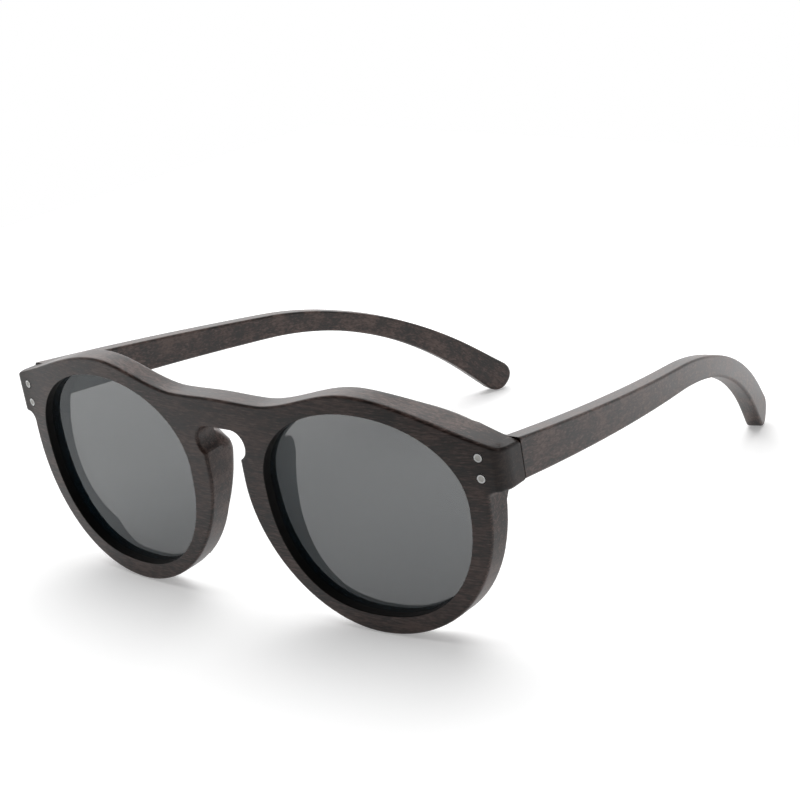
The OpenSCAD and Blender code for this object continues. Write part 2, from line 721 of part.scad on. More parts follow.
module spring_housing() {
    color(dark_steel) along_housing() difference() {
        union() {
            housing_block(0);
            tab_block(0, tab_in);
        }
        rod_along(housing_bore, bore_at, housing_end + past);
        rod_along(rod_d + 2 * run_fit, housing_at - past, bore_at + past);
        at_housing_screws() translate([0, 0, -past]) cylinder(d = screw_d + 2 * inlay_fit, h = 2 * past);
    }
}

module housing_screws() {
    color(dark_steel) along_housing() at_housing_screws() {
        difference() {
            translate([0, 0, -screw_head_h]) cylinder(d = screw_head_d, h = screw_head_h);
            translate([-slot_w / 2, -screw_head_d, slot_d - 2 * screw_head_h])
                cube([slot_w, 2 * screw_head_d, screw_head_h]);
        }
        cylinder(d = screw_d, h = tab_t + screw_bite);
    }
}

module temple() {
    clear_r = knuckle_r + swing_fit;
    color(wood) difference() {
        along_temple() skin(temple_rings);
        at_pin() {
            translate([-2 * past, -pin_back + seam - 2 * past, -2 * past])
                cube([4 * past, 2 * past, 4 * past]);
            translate([0, 0, -2 * past]) cylinder(r = clear_r, h = 4 * past);
            translate([-past, -past, -2 * past]) cube([past + clear_r, past, 4 * past]);
        }
        along_housing() {
            housing_block(inlay_fit);
            tab_block(inlay_fit, -past);
            at_housing_screws() cylinder(d = screw_d + 2 * inlay_fit, h = tab_t + screw_bite + inlay_fit);
        }
    }
}

front_frame();
on_side(1) lens();  // lens_left
on_side(-1) lens();  // lens_right
on_side(1) nose_pad();  // nose_pad_left
on_side(-1) nose_pad();  // nose_pad_right
on_side(1) front_rivets();  // front_rivets_left
on_side(-1) front_rivets();  // front_rivets_right
on_side(1) hinge_leaf();  // hinge_leaf_left
on_side(-1) hinge_leaf();  // hinge_leaf_right
on_side(1) hinge_screw();  // hinge_screw_left
on_side(-1) hinge_screw();  // hinge_screw_right
on_side(1) hinge_shuttle();  // hinge_shuttle_left
on_side(-1) hinge_shuttle();  // hinge_shuttle_right
on_side(1) shuttle_nut();  // shuttle_nut_left
on_side(-1) shuttle_nut();  // shuttle_nut_right
on_side(1) hinge_spring();  // hinge_spring_left
on_side(-1) hinge_spring();  // hinge_spring_right
on_side(1) spring_housing();  // spring_housing_left
on_side(-1) spring_housing();  // spring_housing_right
on_side(1) housing_screws();  // housing_screws_left
on_side(-1) housing_screws();  // housing_screws_right
on_side(1) temple();  // temple_left
on_side(-1) temple();  // temple_right
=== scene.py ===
# %% [markdown]
# # Wooden sunglasses
# These glasses are a wrapped wooden front, two tinted lenses, two glued nose pads and two wooden
# arms on sprung steel hinges. The solid model comes in as a fixed frame that gives every piece its
# place. This lesson makes the pieces that are seen, one after the other, and hangs each of them on the
# body that it moves with.

# %% Load the frame
import json
import math

import bmesh
import bpy
from mathutils import Matrix, Vector


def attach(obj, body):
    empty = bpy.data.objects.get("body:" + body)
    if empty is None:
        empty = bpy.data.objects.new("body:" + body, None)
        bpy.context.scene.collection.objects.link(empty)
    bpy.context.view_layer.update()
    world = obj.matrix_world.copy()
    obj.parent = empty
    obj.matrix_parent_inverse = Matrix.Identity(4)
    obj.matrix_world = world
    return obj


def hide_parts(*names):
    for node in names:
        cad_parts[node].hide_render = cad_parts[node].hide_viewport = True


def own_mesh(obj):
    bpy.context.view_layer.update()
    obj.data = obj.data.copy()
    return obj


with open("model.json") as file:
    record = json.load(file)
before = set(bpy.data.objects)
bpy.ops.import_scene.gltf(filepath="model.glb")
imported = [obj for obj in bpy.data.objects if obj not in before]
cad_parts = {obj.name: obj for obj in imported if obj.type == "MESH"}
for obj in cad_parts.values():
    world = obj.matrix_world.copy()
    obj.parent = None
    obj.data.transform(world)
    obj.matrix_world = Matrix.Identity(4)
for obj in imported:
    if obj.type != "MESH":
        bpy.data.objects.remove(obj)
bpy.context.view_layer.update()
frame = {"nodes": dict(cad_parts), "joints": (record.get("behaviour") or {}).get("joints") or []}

# %% [markdown]
# ## Where the hinges put everything
# A bench maker would set the arms out from the hinge pins, and so does this lesson. The record of
# the frame gives the pin's place, its lean and the way the spring slides. The lean of the pin is
# the forward tilt of the front, and the slide shows how far the arms droop. Lengths are written in
# millimetres, and two matrices, one for the arms here and one for the front below, carry the
# finished shapes into the metres of the frame.

# %% Tilt, droop and the drawing board of the arms
MM = 0.001
joints = {joint["name"]: joint for joint in frame["joints"]}
pin_place = Vector(joints["fold_left"]["pos_m"])
pin_axis = Vector(joints["fold_left"]["axis"])
slide_axis = Vector(joints["flex_left"]["axis"])
front_tilt = math.atan2(-pin_axis.y, pin_axis.z)
droop = math.atan2(-slide_axis.z, slide_axis.y)
arm_board = (
    Matrix.Translation(pin_place)
    @ Matrix.Rotation(-droop, 4, "X")
    @ Matrix.Scale(MM, 4)
)
print("front leans", round(math.degrees(front_tilt), 2), "degrees, arms droop",
      round(math.degrees(droop), 2), "degrees")

# %% [markdown]
# ## Sizes of the front
# The front is drawn flat, as on a board: x sideways from the middle of the bridge, v up from the
# bottom of the rims, and w back from the front surface. The sizes are the ones that the solid model
# was drawn from, so a new piece lies on the old one.

# %% Sizes of the front
lens_w = 50.4
lens_h = 45.2
lens_gap = 21.8
lens_apex = 24.7
lens_waist = 26.9
open_curve_up = 2.05
open_curve_down = 2.3
rim_t = 5.4
wrap_r = 385
rim_low = 4.3
rim_top = 4.15
rim_side = 4.6
rim_nose = 5.9
rim_curve_side = 2.1
rim_curve_nose = 1.9
bridge_h = 6.9
key_drop = 7.1
key_h = 7
key_flare = 1.8
dip_x = 11.5
dip_h = 0.3
end_reach = 4.4
end_h = 9.5
end_drop = 4.8
end_depth = 6.4
end_corner = 2.6
end_edge = 1
end_fillet = 1.8
end_block = 10.2
end_ramp = 19.7
block_foot = 10
block_lean = math.radians(7)
end_droop = math.radians(5)
brow_fall = math.radians(15)
pin_in = 5.5
pin_back = 1.75
temple_h = 8.9
seam_step = 0.1

lens_x = lens_gap / 2 + lens_apex
lens_v = rim_low + lens_waist
lens_top = rim_low + lens_h
rim_x = lens_gap / 2 + lens_w + rim_side
neck_x = lens_gap / 2 - rim_nose
half_w = rim_x + end_reach
key_r = key_h / 2
key_x = neck_x + key_flare - key_r
key_top = lens_top - key_drop
key_v = key_top - key_r
key_angle = math.acos((neck_x - key_x) / key_r)
bridge_top = key_top + bridge_h
dip_top = bridge_top - dip_h
peak_top = lens_top + rim_top
end_top = lens_top - end_drop
end_bottom = end_top - end_h
brow_end = half_w - end_edge
block_x = half_w - end_block
ramp_x = block_x - end_ramp
block_full = end_bottom - end_fillet


def wrapped(x, deep):
    """How far back the wrapped surface lies at x, for a layer that is deep under the front."""
    return wrap_r - math.sqrt((wrap_r - deep) ** 2 - x * x)


end_w = wrapped(half_w, 0)
seam_w = end_w + end_depth
pin_on_front = Vector((half_w - pin_in, seam_w + pin_back, end_bottom + seam_step + temple_h / 2))
front_board = (
    Matrix.Translation(pin_place)
    @ Matrix.Rotation(front_tilt, 4, "X")
    @ Matrix.Scale(MM, 4)
    @ Matrix.Translation(-pin_on_front)
)
print("front", 2 * half_w, "mm wide, seam", round(seam_w, 2), "mm behind the bridge")

# %% [markdown]
# ## Writing shader sums as Python
# A material is a small network of nodes. Placing them one by one hides the idea, so this class
# wraps one output socket. Sums of wrapped sockets add their Math nodes, and every other kind of
# node comes from the one method below, which sets the node's options first and then fills its
# sockets with values or links.

# %% One class for sockets
class Wire:
    """One output socket of a node tree, or the bare tree while it holds no socket yet."""

    def __init__(self, tree, socket=None):
        self.tree = tree
        self.socket = socket

    def node(self, kind, settings=None, sockets=None, output=0):
        """Adds a node: its settings first, then the values or links of its sockets."""
        node = self.tree.nodes.new(kind)
        for name, value in (settings or {}).items():
            if name == "stops":
                node.color_ramp.elements.remove(node.color_ramp.elements[-1])
                node.color_ramp.elements[0].position = value[0][0]
                node.color_ramp.elements[0].color = value[0][1]
                for place, colour in value[1:]:
                    node.color_ramp.elements.new(place).color = colour
            else:
                setattr(node, name, value)
        for name, value in (sockets or {}).items():
            if isinstance(value, Wire):
                self.tree.links.new(value.socket, node.inputs[name])
            else:
                node.inputs[name].default_value = value
        return Wire(self.tree, node.outputs[output] if node.outputs else None)

    def sum(self, operation, first, second):
        return self.node("ShaderNodeMath", {"operation": operation}, {0: first, 1: second})

    def __add__(self, other):
        return self.sum("ADD", self, other)

    def __radd__(self, other):
        return self.sum("ADD", other, self)

    def __sub__(self, other):
        return self.sum("SUBTRACT", self, other)

    def __rsub__(self, other):
        return self.sum("SUBTRACT", other, self)

    def __mul__(self, other):
        return self.sum("MULTIPLY", self, other)

    def __rmul__(self, other):
        return self.sum("MULTIPLY", other, self)


print("socket class ready")

# %% [markdown]
# ## Starting and ending a finish
# Colours and vectors can't go through Math nodes, so a few helpers add the nodes for them. Every
# finish starts as an empty material and ends in the same kind of shader.

# %% Helpers for finishes
MIX_FACTOR = 0
MIX_A = 6
MIX_B = 7
MIX_RESULT = 2


def new_finish(name):
    """An empty material, and the wire that its nodes are added through."""
    finish = bpy.data.materials.new(name)
    finish.use_nodes = True
    finish.node_tree.nodes.clear()
    return finish, Wire(finish.node_tree)


def end_finish(finish, wire, sockets):
    """Ends a finish in its shader, with these values or links."""
    shader = wire.node("ShaderNodeBsdfPrincipled", None, sockets)
    wire.node("ShaderNodeOutputMaterial", None, {"Surface": shader})
    print(finish.name, "has", len(finish.node_tree.nodes), "nodes")


def blend_colours(wire, factor, first, second):
    """A colour that goes from the first to the second as the factor rises from 0 to 1."""
    return wire.node("ShaderNodeMix", {"data_type": "RGBA"},
                     {MIX_FACTOR: factor, MIX_A: first, MIX_B: second}, MIX_RESULT)


def vector_sum(wire, operation, first, second, output="Vector"):
    """Two vectors put together, as a vector or as a number."""
    return wire.node("ShaderNodeVectorMath", {"operation": operation}, {0: first, 1: second}, output)


def remap(wire, value, limits, results, steps="LINEAR"):
    """Goes from the first result to the second as the value goes from limit to limit."""
    return wire.node("ShaderNodeMapRange", {"interpolation_type": steps}, {
        "Value": value, "From Min": limits[0], "From Max": limits[1],
        "To Min": results[0], "To Max": results[1]})


print("finish helpers ready")

# %% [markdown]
# ## The wood
# The wood is almost black, oiled to a satin sheen. Fine streaks run along each piece, redder and
# darker patches drift through it, short pinkish flecks catch the eye on the front, and thin black
# pores lie between them. Noise that is stretched along the grain gives all four at different sizes.
# The pieces are bent after they are drawn, and real grain bends with its board, so the noise reads an
# attribute that every wooden piece stores while it is still flat: along, across and up its board.
# Towards the ends of the front the wood is drawn darker and duller, by a second attribute.

# %% Grain of the wood
GRAIN_ROUGHNESS = 0.62
wood, wire = new_finish("dark_satin_wood")


def flat_place(wire):
    """The place on the flat board that a piece has stored."""
    return wire.node("ShaderNodeAttribute", {"attribute_name": "grain"}, output="Vector")


def grain_noise(wire, place, along, across, detail):
    """Noise stretched along the grain, with that many features to a metre each way."""
    stretched = vector_sum(wire, "MULTIPLY", place, (along, across, across))
    return wire.node("ShaderNodeTexNoise", None, {
        "Vector": stretched, "Scale": 1, "Detail": detail, "Roughness": GRAIN_ROUGHNESS})


grain_place = flat_place(wire)
streaks = grain_noise(wire, grain_place, along=60, across=1100, detail=6)
patches = grain_noise(wire, grain_place, along=75, across=200, detail=4)
flecks = grain_noise(wire, grain_place, along=420, across=2500, detail=3)
pores = grain_noise(wire, grain_place, along=210, across=4200, detail=2)
end_grain = wire.node("ShaderNodeAttribute", {"attribute_name": "end_grain"}, output="Fac")
print("grain has", len(wood.node_tree.nodes), "nodes")

# %% Wood finish
wood_dark = (0.0060, 0.0038, 0.0032, 1)
wood_brown = (0.0190, 0.0108, 0.0088, 1)
wood_red = (0.0420, 0.0230, 0.0185, 1)
wood_light = (0.0880, 0.0560, 0.0460, 1)
fleck_pink = (0.1050, 0.0720, 0.0630, 1)
pore_black = (0.0030, 0.0022, 0.0020, 1)
wood_stops = [(0.41, wood_dark), (0.465, wood_brown), (0.51, wood_red), (0.575, wood_light)]
streak_share = 0.2
patch_share = 0.42
fleck_share = 0.38
fleck_limits = (0.58, 0.68)
fleck_cover = (0, 0.75)
pore_limits = (0.57, 0.68)
pore_cover = (0, 0.85)
darken_cover = 0.65
darken_dulls = 0.12
streak_relief = 0.6
pore_relief = 0.4
wood_satin = 0.26
tone_dulls = 0.3
tone = streaks * streak_share + patches * patch_share + flecks * fleck_share
wood_colour = wire.node("ShaderNodeValToRGB", {"stops": wood_stops}, {"Fac": tone})
fleck_mask = remap(wire, flecks, fleck_limits, fleck_cover)
wood_colour = blend_colours(wire, fleck_mask, wood_colour, fleck_pink)
pore_mask = remap(wire, pores, pore_limits, pore_cover)
wood_colour = blend_colours(wire, pore_mask, wood_colour, pore_black)
wood_colour = blend_colours(wire, end_grain * darken_cover, wood_colour, pore_black)
wood_bump = wire.node("ShaderNodeBump", None, {
    "Strength": 0.35, "Distance": 0.00004, "Height": streaks * streak_relief - pores * pore_relief})
end_finish(wood, wire, {
    "Base Color": wood_colour, "Roughness": wood_satin + tone * tone_dulls + end_grain * darken_dulls,
    "Specular IOR Level": 0.43, "Normal": wood_bump})

# %% [markdown]
# ## The blackened groove edge
# Inside each lens opening the wood is nearly black, where the cutter has burnished it and the
# groove was sealed before the lens went in. It is the same grain, so the finish is a darker,
# duller copy of the wood with only a hint of the streaks left. The same finish also paints the thin
# shadow ring round each rivet head.

# %% Groove finish
groove_black = (0.0016, 0.0014, 0.0013, 1)
groove_brown = (0.006, 0.0045, 0.0040, 1)
groove_dull = 0.5
streak_dulls = 0.2
groove_and_shadow_black, wire = new_finish("sealed_groove_and_painted_shadow")
groove_streaks = grain_noise(wire, flat_place(wire), along=60, across=1500, detail=3)
end_finish(groove_and_shadow_black, wire, {
    "Base Color": blend_colours(wire, groove_streaks, groove_black, groove_brown),
    "Roughness": groove_dull + groove_streaks * streak_dulls, "Specular IOR Level": 0.25})

# %% [markdown]
# ## The lens tint
# The lenses are thin grey plastic that lets about a tenth of the light through, with a cool cast. Low
# down they let a little less light through, which is painted shade of the shadowed floor seen behind
# them. A see-through share on the shader does that without bending the view, which suits a sheet
# whose two faces are parallel. Wiping leaves a faint unevenness in the polish, so the roughness drifts
# a little.

# %% Tint finish
tint_cool = (0.0035, 0.0125, 0.0200, 1)
tint_pale = (0.0050, 0.0145, 0.0225, 1)
# Denser towards the bottom: painted shade of the floor behind the lens.
painted_shade_heights = (0.004, 0.05)
density_with_painted_shade = (0.725, 0.645)
tint_polish = 0.02
smear_dulls = 0.05
tint, wire = new_finish("grey_lens_tint")
lens_place = wire.node("ShaderNodeTexCoord", output="Object")
smears = wire.node("ShaderNodeTexNoise", None, {"Vector": lens_place, "Scale": 60, "Detail": 3})
lens_up = wire.node("ShaderNodeSeparateXYZ", None, {"Vector": lens_place}, "Z")
end_finish(tint, wire, {
    "Base Color": blend_colours(wire, smears, tint_cool, tint_pale),
    "Roughness": tint_polish + smears * smear_dulls,
    "Alpha": remap(wire, lens_up, painted_shade_heights, density_with_painted_shade),
    "IOR": 1.55, "Specular Tint": (0.91, 0.98, 1, 1)})

# %% [markdown]
# ## The steel
# The rivets are steel, drawn in pale, almost matt greys that paint in the light the steel reflects: a
# near-white turned rim that is a painted highlight, and a middle that the setting punch has left rough,
# in a duller grey that is painted reflection. Both finishes are made by one function. Noise that is
# stretched one way gives fine brush marks, and they change the roughness more than the colour.

# %% Steel finishes
brush_marks = (6000, 500, 6000)
mark_dulls = 0.2


def steel_finish(name, dull, bright, metal, roughness):
    """Brushed steel between two greys, more or less metallic."""
    finish, wire = new_finish(name)
    place = wire.node("ShaderNodeTexCoord", output="Object")
    brushed = vector_sum(wire, "MULTIPLY", place, brush_marks)
    marks = wire.node("ShaderNodeTexNoise", None, {"Vector": brushed, "Scale": 1, "Detail": 3})
    bump = wire.node("ShaderNodeBump", None, {"Strength": 0.2, "Distance": 0.00001, "Height": marks})
    end_finish(finish, wire, {
        "Base Color": blend_colours(wire, marks, dull, bright), "Metallic": metal,
        "Roughness": roughness + marks * mark_dulls, "Normal": bump})
    return finish


# The near-white rim is a painted highlight, the grey middle painted reflection.
rim_steel_painted_highlight = steel_finish("rim_steel_painted_highlight", dull=(0.95, 0.95, 0.94, 1), bright=(0.99, 0.99, 0.98, 1),
                            metal=0.1, roughness=0.3)
middle_steel_painted_reflection = steel_finish("middle_steel_painted_reflection", dull=(0.55, 0.54, 0.51, 1), bright=(0.84, 0.83, 0.79, 1),
                             metal=0.1, roughness=0.45)

# %% [markdown]
# ## Finishing a piece
# Every piece ends the same way: its mesh becomes an object at the origin, its faces are smoothed
# apart from the sharp edges, and it is hung on the body that carries it. Flat faces next to narrow
# rounded edges shade unevenly, so normals are weighted by the size of their faces. Most pieces of
# the front come in pairs, so a second helper makes the mirror image too.

# %% Helpers that finish a piece
SHARP_ANGLE = math.radians(40)


def finish_piece(name, shape, finishes, body, replaced):
    """Makes an object of a shape, hangs it on a body and hides the solid it stands for."""
    bmesh.ops.recalc_face_normals(shape, faces=shape.faces[:])
    mesh = bpy.data.meshes.new(name)
    shape.to_mesh(mesh)
    shape.free()
    for finish in finishes:
        mesh.materials.append(finish)
    mesh.shade_smooth()
    mesh.set_sharp_from_angle(angle=SHARP_ANGLE)
    piece = bpy.data.objects.new(name, mesh)
    bpy.context.scene.collection.objects.link(piece)
    weighted = piece.modifiers.new("even_normals", "WEIGHTED_NORMAL")
    weighted.keep_sharp = True
    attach(piece, body)
    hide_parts(replaced)
    print(name, "has", len(mesh.polygons), "faces")
    return piece


def mirrored(shape):
    """A copy of a shape for the other side of the glasses."""
    other = shape.copy()
    bmesh.ops.scale(other, vec=(-1, 1, 1), verts=other.verts)
    bmesh.ops.reverse_faces(other, faces=other.faces[:])
    return other


def finish_pair(name, shape, finishes, slot, replaced):
    """Finishes a piece of the front's right side, as a mirror image, and then the left one."""
    for side, half in (("right", mirrored(shape)), ("left", shape)):
        finish_piece(name + "_" + side + "_" + slot, half, finishes, "front", replaced + "_" + side)


def store_grain(shape, shift):
    """Keeps the flat place of every vertex, so that the streaks bend with the board."""
    layer = shape.verts.layers.float_vector.new("grain")
    for vert in shape.verts:
        vert[layer] = vert.co * MM + shift


def bend(shape, to_bent):
    """Moves every vertex from its place on the flat board to its place on the bent piece."""
    for vert in shape.verts:
        vert.co = to_bent(*vert.co)


print("piece helpers ready")

# %% [markdown]
# ## Drawing the front
# The front is sawn from one board: a brow that dips beside the bridge and falls to the end pieces,
# round rims, and a keyhole over the nose. Half of the outline is enough, because the rest is its
# mirror image. The rims are squarer than ellipses, so their arcs raise the sine and cosine to a
# power.

# %% Curves of the outline
BROW_STEPS = 24
CORNER_STEPS = 6
RIM_STEPS = 24
KEY_STEPS = 16
OPEN_STEPS = 24
RIGHT_ANGLE = math.pi / 2
FULL_TURN = 4 * RIGHT_ANGLE
ROUND = 2


def ease(t):
    """Rises smoothly from 0 to 1 as t does."""
    t = min(max(t, 0), 1)
    return t * t * (3 - 2 * t)


def between(a, b, t):
    return a + (b - a) * t


def curve_power(value, curve):
    return math.copysign(abs(value) ** (2 / curve), value)


def arc(x, v, wide, high, curve, start, end, steps):
    """Points of an arc from one angle to another, rounder or squarer than an ellipse."""
    angles = [between(start, end, i / steps) for i in range(steps + 1)]
    return [(x + wide * curve_power(math.cos(a), curve), v + high * curve_power(math.sin(a), curve))
            for a in angles]


def brow(x):
    """Height of the top edge at x."""
    if x < dip_x:
        return between(bridge_top, dip_top, ease(x / dip_x))
    if x < lens_x:
        return between(dip_top, peak_top, ease((x - dip_x) / (lens_x - dip_x)))
    t = (x - lens_x) / (brow_end - lens_x)
    return between(peak_top, end_top, ease(t)) + (brow_end - lens_x) * math.tan(brow_fall) * t * t * (1 - t)


inner_brow = [(lens_x * i / BROW_STEPS, brow(lens_x * i / BROW_STEPS)) for i in range(BROW_STEPS)]
outer_brow_x = [between(lens_x, brow_end, i / BROW_STEPS) for i in range(BROW_STEPS)]
outer_brow = [(x, brow(x)) for x in outer_brow_x]
outline = (
    inner_brow
    + outer_brow
    + arc(brow_end, end_top - end_edge, end_edge, end_edge, ROUND, RIGHT_ANGLE, 0, CORNER_STEPS)
    + arc(brow_end, end_bottom + end_edge, end_edge, end_edge, ROUND, 0, -RIGHT_ANGLE, CORNER_STEPS)
    + arc(rim_x + end_fillet, end_bottom - end_fillet, end_fillet, end_fillet, ROUND,
          RIGHT_ANGLE, 2 * RIGHT_ANGLE, CORNER_STEPS)
    + arc(lens_x, lens_v, rim_x - lens_x, lens_v, rim_curve_side, 0, -RIGHT_ANGLE, RIM_STEPS)
    + arc(lens_x, lens_v, lens_x - neck_x, lens_v, rim_curve_nose,
          -RIGHT_ANGLE, -2 * RIGHT_ANGLE, RIM_STEPS)[1:]
    + arc(key_x, key_v, key_r, key_r, ROUND, -key_angle, RIGHT_ANGLE, KEY_STEPS)
    + [(0, key_top)]
)


def opening(margin):
    """Outline of a lens opening grown by a margin, from its temple side upwards and round."""
    temple_side = lens_w - lens_apex + margin
    nose_side = lens_apex + margin
    up = lens_h - lens_waist + margin
    down = lens_waist + margin
    quarters = ((temple_side, up, open_curve_up), (nose_side, up, open_curve_up),
                (nose_side, down, open_curve_down), (temple_side, down, open_curve_down))
    points = []
    for quarter, (wide, high, curve) in enumerate(quarters):
        start = quarter * RIGHT_ANGLE
        points += arc(lens_x, lens_v, wide, high, curve, start, start + RIGHT_ANGLE, OPEN_STEPS)[:-1]
    return points


print("outline", len(outline), "points, opening", len(opening(0)), "points")

# %% [markdown]
# ## Sawing out the blank
# The outline and the opening are joined over and under the lens into two faces, and an extrusion
# gives them the thickness of the board. It would also work to cut the opening with a Boolean, but
# two faces with a shared seam stay clean under the bevels that follow.

# %% Flat blank of half the front
def only(kind, parts):
    """The vertices or the edges among the parts that an operator hands back."""
    return [part for part in parts if isinstance(part, kind)]


blank = bmesh.new()
rim_verts = [blank.verts.new((x, 0, v)) for x, v in outline]
open_verts = [blank.verts.new((x, 0, v)) for x, v in opening(0)]
over_lens = len(inner_brow)
under_lens = min(range(len(outline)), key=lambda i: outline[i][1])
open_over = OPEN_STEPS
open_under = 3 * OPEN_STEPS
blank.faces.new(rim_verts[over_lens:under_lens + 1] + open_verts[open_under:] + open_verts[:open_over + 1])
blank.faces.new(rim_verts[under_lens:] + rim_verts[:over_lens + 1] + open_verts[open_over:open_under + 1])
sawn = bmesh.ops.extrude_face_region(blank, geom=blank.faces[:])["geom"]
bmesh.ops.translate(blank, verts=only(bmesh.types.BMVert, sawn), vec=(0, rim_t, 0))
bmesh.ops.recalc_face_normals(blank, faces=blank.faces[:])
print("blank", round(blank.calc_volume()), "cubic mm")

# %% [markdown]
# ## Rounding the edges
# A sanded edge is a bevel with a few segments. The outer edges are rounded most, the lens openings
# less, and the edge that meets the arm only enough to catch the light, because the seam in the real
# frame is a thin dark line. The rear edge stays sharp under the nose pads, so that they sit flush.
# Each group is picked by where its edges lie.

# %% Rounded edges
outer_round = 0.6
open_round = 0.2
seam_round = 0.06
pad_foot = 7.5
pad_end_drop = 2.4
pad_end_v = key_top - pad_end_drop
TINY = 0.001
FLAT = 0.9
ON_WALL = 0.01


def on_opening(vert):
    """True where a vertex lies on the wall of the lens opening."""
    wide = lens_w - lens_apex if vert.co.x > lens_x else lens_apex
    high = lens_h - lens_waist if vert.co.z > lens_v else lens_waist
    curve = open_curve_up if vert.co.z > lens_v else open_curve_down
    reach = abs((vert.co.x - lens_x) / wide) ** curve + abs((vert.co.z - lens_v) / high) ** curve
    return abs(reach - 1) < ON_WALL


def board_edges():
    """Edges between a flat of the board and its sawn side, apart from the cut at the middle."""
    found = []
    for edge in blank.edges:
        flats = [abs(face.normal.y) > FLAT for face in edge.link_faces]
        at_middle = all(vert.co.x < TINY for vert in edge.verts)
        if sorted(flats) == [False, True] and not at_middle:
            found.append(edge)
    return found


def by_hinge(vert):
    """True for a vertex of the end piece, where the arm meets it."""
    return vert.co.x > block_x and vert.co.z > block_full - TINY


def under_pad(vert):
    """True for a vertex at the rear of the rim where a nose pad is glued on."""
    return vert.co.x < lens_x and vert.co.y > rim_t / 2 and pad_foot < vert.co.z < pad_end_v


def at_seam(edge):
    return all(vert.co.y > rim_t - TINY and by_hinge(vert) for vert in edge.verts)


def round_edges(shape, edges, size, segments):
    bmesh.ops.bevel(shape, geom=edges, offset=size, offset_type="OFFSET", affect="EDGES",
                    segments=segments, profile=0.5, material=-1)


open_edges = [edge for edge in board_edges() if all(on_opening(vert) for vert in edge.verts)]
round_edges(blank, open_edges, open_round, segments=3)
seam_edges = [edge for edge in board_edges() if at_seam(edge)]
round_edges(blank, seam_edges, seam_round, segments=1)
outer_edges = [edge for edge in board_edges()
               if not all(on_opening(vert) for vert in edge.verts)
               and not all(by_hinge(vert) and vert.co.y > rim_t / 2 for vert in edge.verts)
               and not all(under_pad(vert) for vert in edge.verts)
               and edge.calc_face_angle() > SHARP_ANGLE]
round_edges(blank, outer_edges, outer_round, segments=4)
print("rounded", len(open_edges), "opening,", len(seam_edges), "seam and", len(outer_edges), "outer edges")

# %% [markdown]
# ## Slicing for the bend
# A bend only shows where there are vertices to move. Planes slice the blank across its width, more
# closely at the end piece with its tight corner, and a few more slices go through its thickness
# and below the end piece, where the rear slopes back to the rim.

# %% Slices
SLICE_GAP = 2.0
SLOPE_SLICES = 6
CORNER_SLICES = 5
REAR_SLICE = 0.75
corner_cuts = [end_corner * i / CORNER_SLICES for i in range(1, CORNER_SLICES + 1)]
slices_x = [SLICE_GAP * i for i in range(1, int(half_w / SLICE_GAP))]
slices_x += [ramp_x, block_x] + [half_w - cut for cut in corner_cuts]
slices_w = corner_cuts + [rim_t / 2, rim_t * REAR_SLICE]
slices_v = [between(block_foot, block_full, i / SLOPE_SLICES) for i in range(SLOPE_SLICES + 1)]


def everything(shape):
    return shape.verts[:] + shape.edges[:] + shape.faces[:]


def slice_shape(shape, place, direction, **cleared):
    """Slices a shape by a plane, and clears away one side of it if told which."""
    return bmesh.ops.bisect_plane(shape, geom=everything(shape), dist=TINY, plane_co=place,
                                  plane_no=direction, **cleared)["geom_cut"]


for x in slices_x:
    slice_shape(blank, (x, 0, 0), (1, 0, 0))
for w in slices_w:
    slice_shape(blank, (0, w, 0), (0, 1, 0))
for v in slices_v:
    slice_shape(blank, (0, 0, v), (0, 0, 1))
print("sliced into", len(blank.faces), "faces")

# %% [markdown]
# ## The other half
# The face at the cut through the bridge goes, the walls of the lens opening get their own finish, and
# a mirror makes the other half. While the board is still flat, its grain is stored and the end pieces
# are marked to be drawn darker.

# %% Mirrored blank and its grain
darken_x = 12
darken_v = 2
front_cut = Vector((0, 0, 0))
front_finishes = [wood, groove_and_shadow_black]
middle_faces = [face for face in blank.faces if all(vert.co.x < TINY for vert in face.verts)]
bmesh.ops.delete(blank, geom=middle_faces, context="FACES")
for face in blank.faces:
    in_opening = all(on_opening(vert) for vert in face.verts)
    face.material_index = front_finishes.index(groove_and_shadow_black if in_opening else wood)
bmesh.ops.mirror(blank, geom=everything(blank), axis="X", merge_dist=TINY)
store_grain(blank, front_cut)
# The wood is drawn darker and duller towards both ends of the front.
darkened = blank.verts.layers.float.new("end_grain")
for vert in blank.verts:
    inwards = ease((abs(vert.co.x) - half_w + darken_x) / darken_x)
    vert[darkened] = inwards * ease((vert.co.z - end_bottom + darken_v) / darken_v)
print("whole blank", len(blank.faces), "faces, open edges", sum(edge.is_boundary for edge in blank.edges))

# %% [markdown]
# ## Bending the front
# In the workshop the board is steamed over a form. Here one function does it: it rounds the outer
# corner by turning the corner's square, bevel and all, into a quarter circle, lays the board on the
# wrap, thickens the brow and the side of the rim back to the seam, and lets the top of the end piece
# slope back.

# %% Bent front
leaf_inset = 0.05
droop_from = ramp_x
droop_to = (ramp_x + block_x) / 2
droop_depth = end_h / 2


def corner_reach(slope, v):
    """How far the bevel lets the end piece's corner reach in a direction, as a share of its square."""
    bevel = outer_round / end_corner
    middle = 1 - bevel
    if slope <= middle:
        return 1
    inside = (middle * (1 + slope)) ** 2 - (1 + slope ** 2) * (2 * middle ** 2 - bevel ** 2)
    reach = (middle * (1 + slope) + math.sqrt(inside)) / (1 + slope ** 2)
    return between(1, reach, ease(min(end_top - v, v - end_bottom) / end_edge))


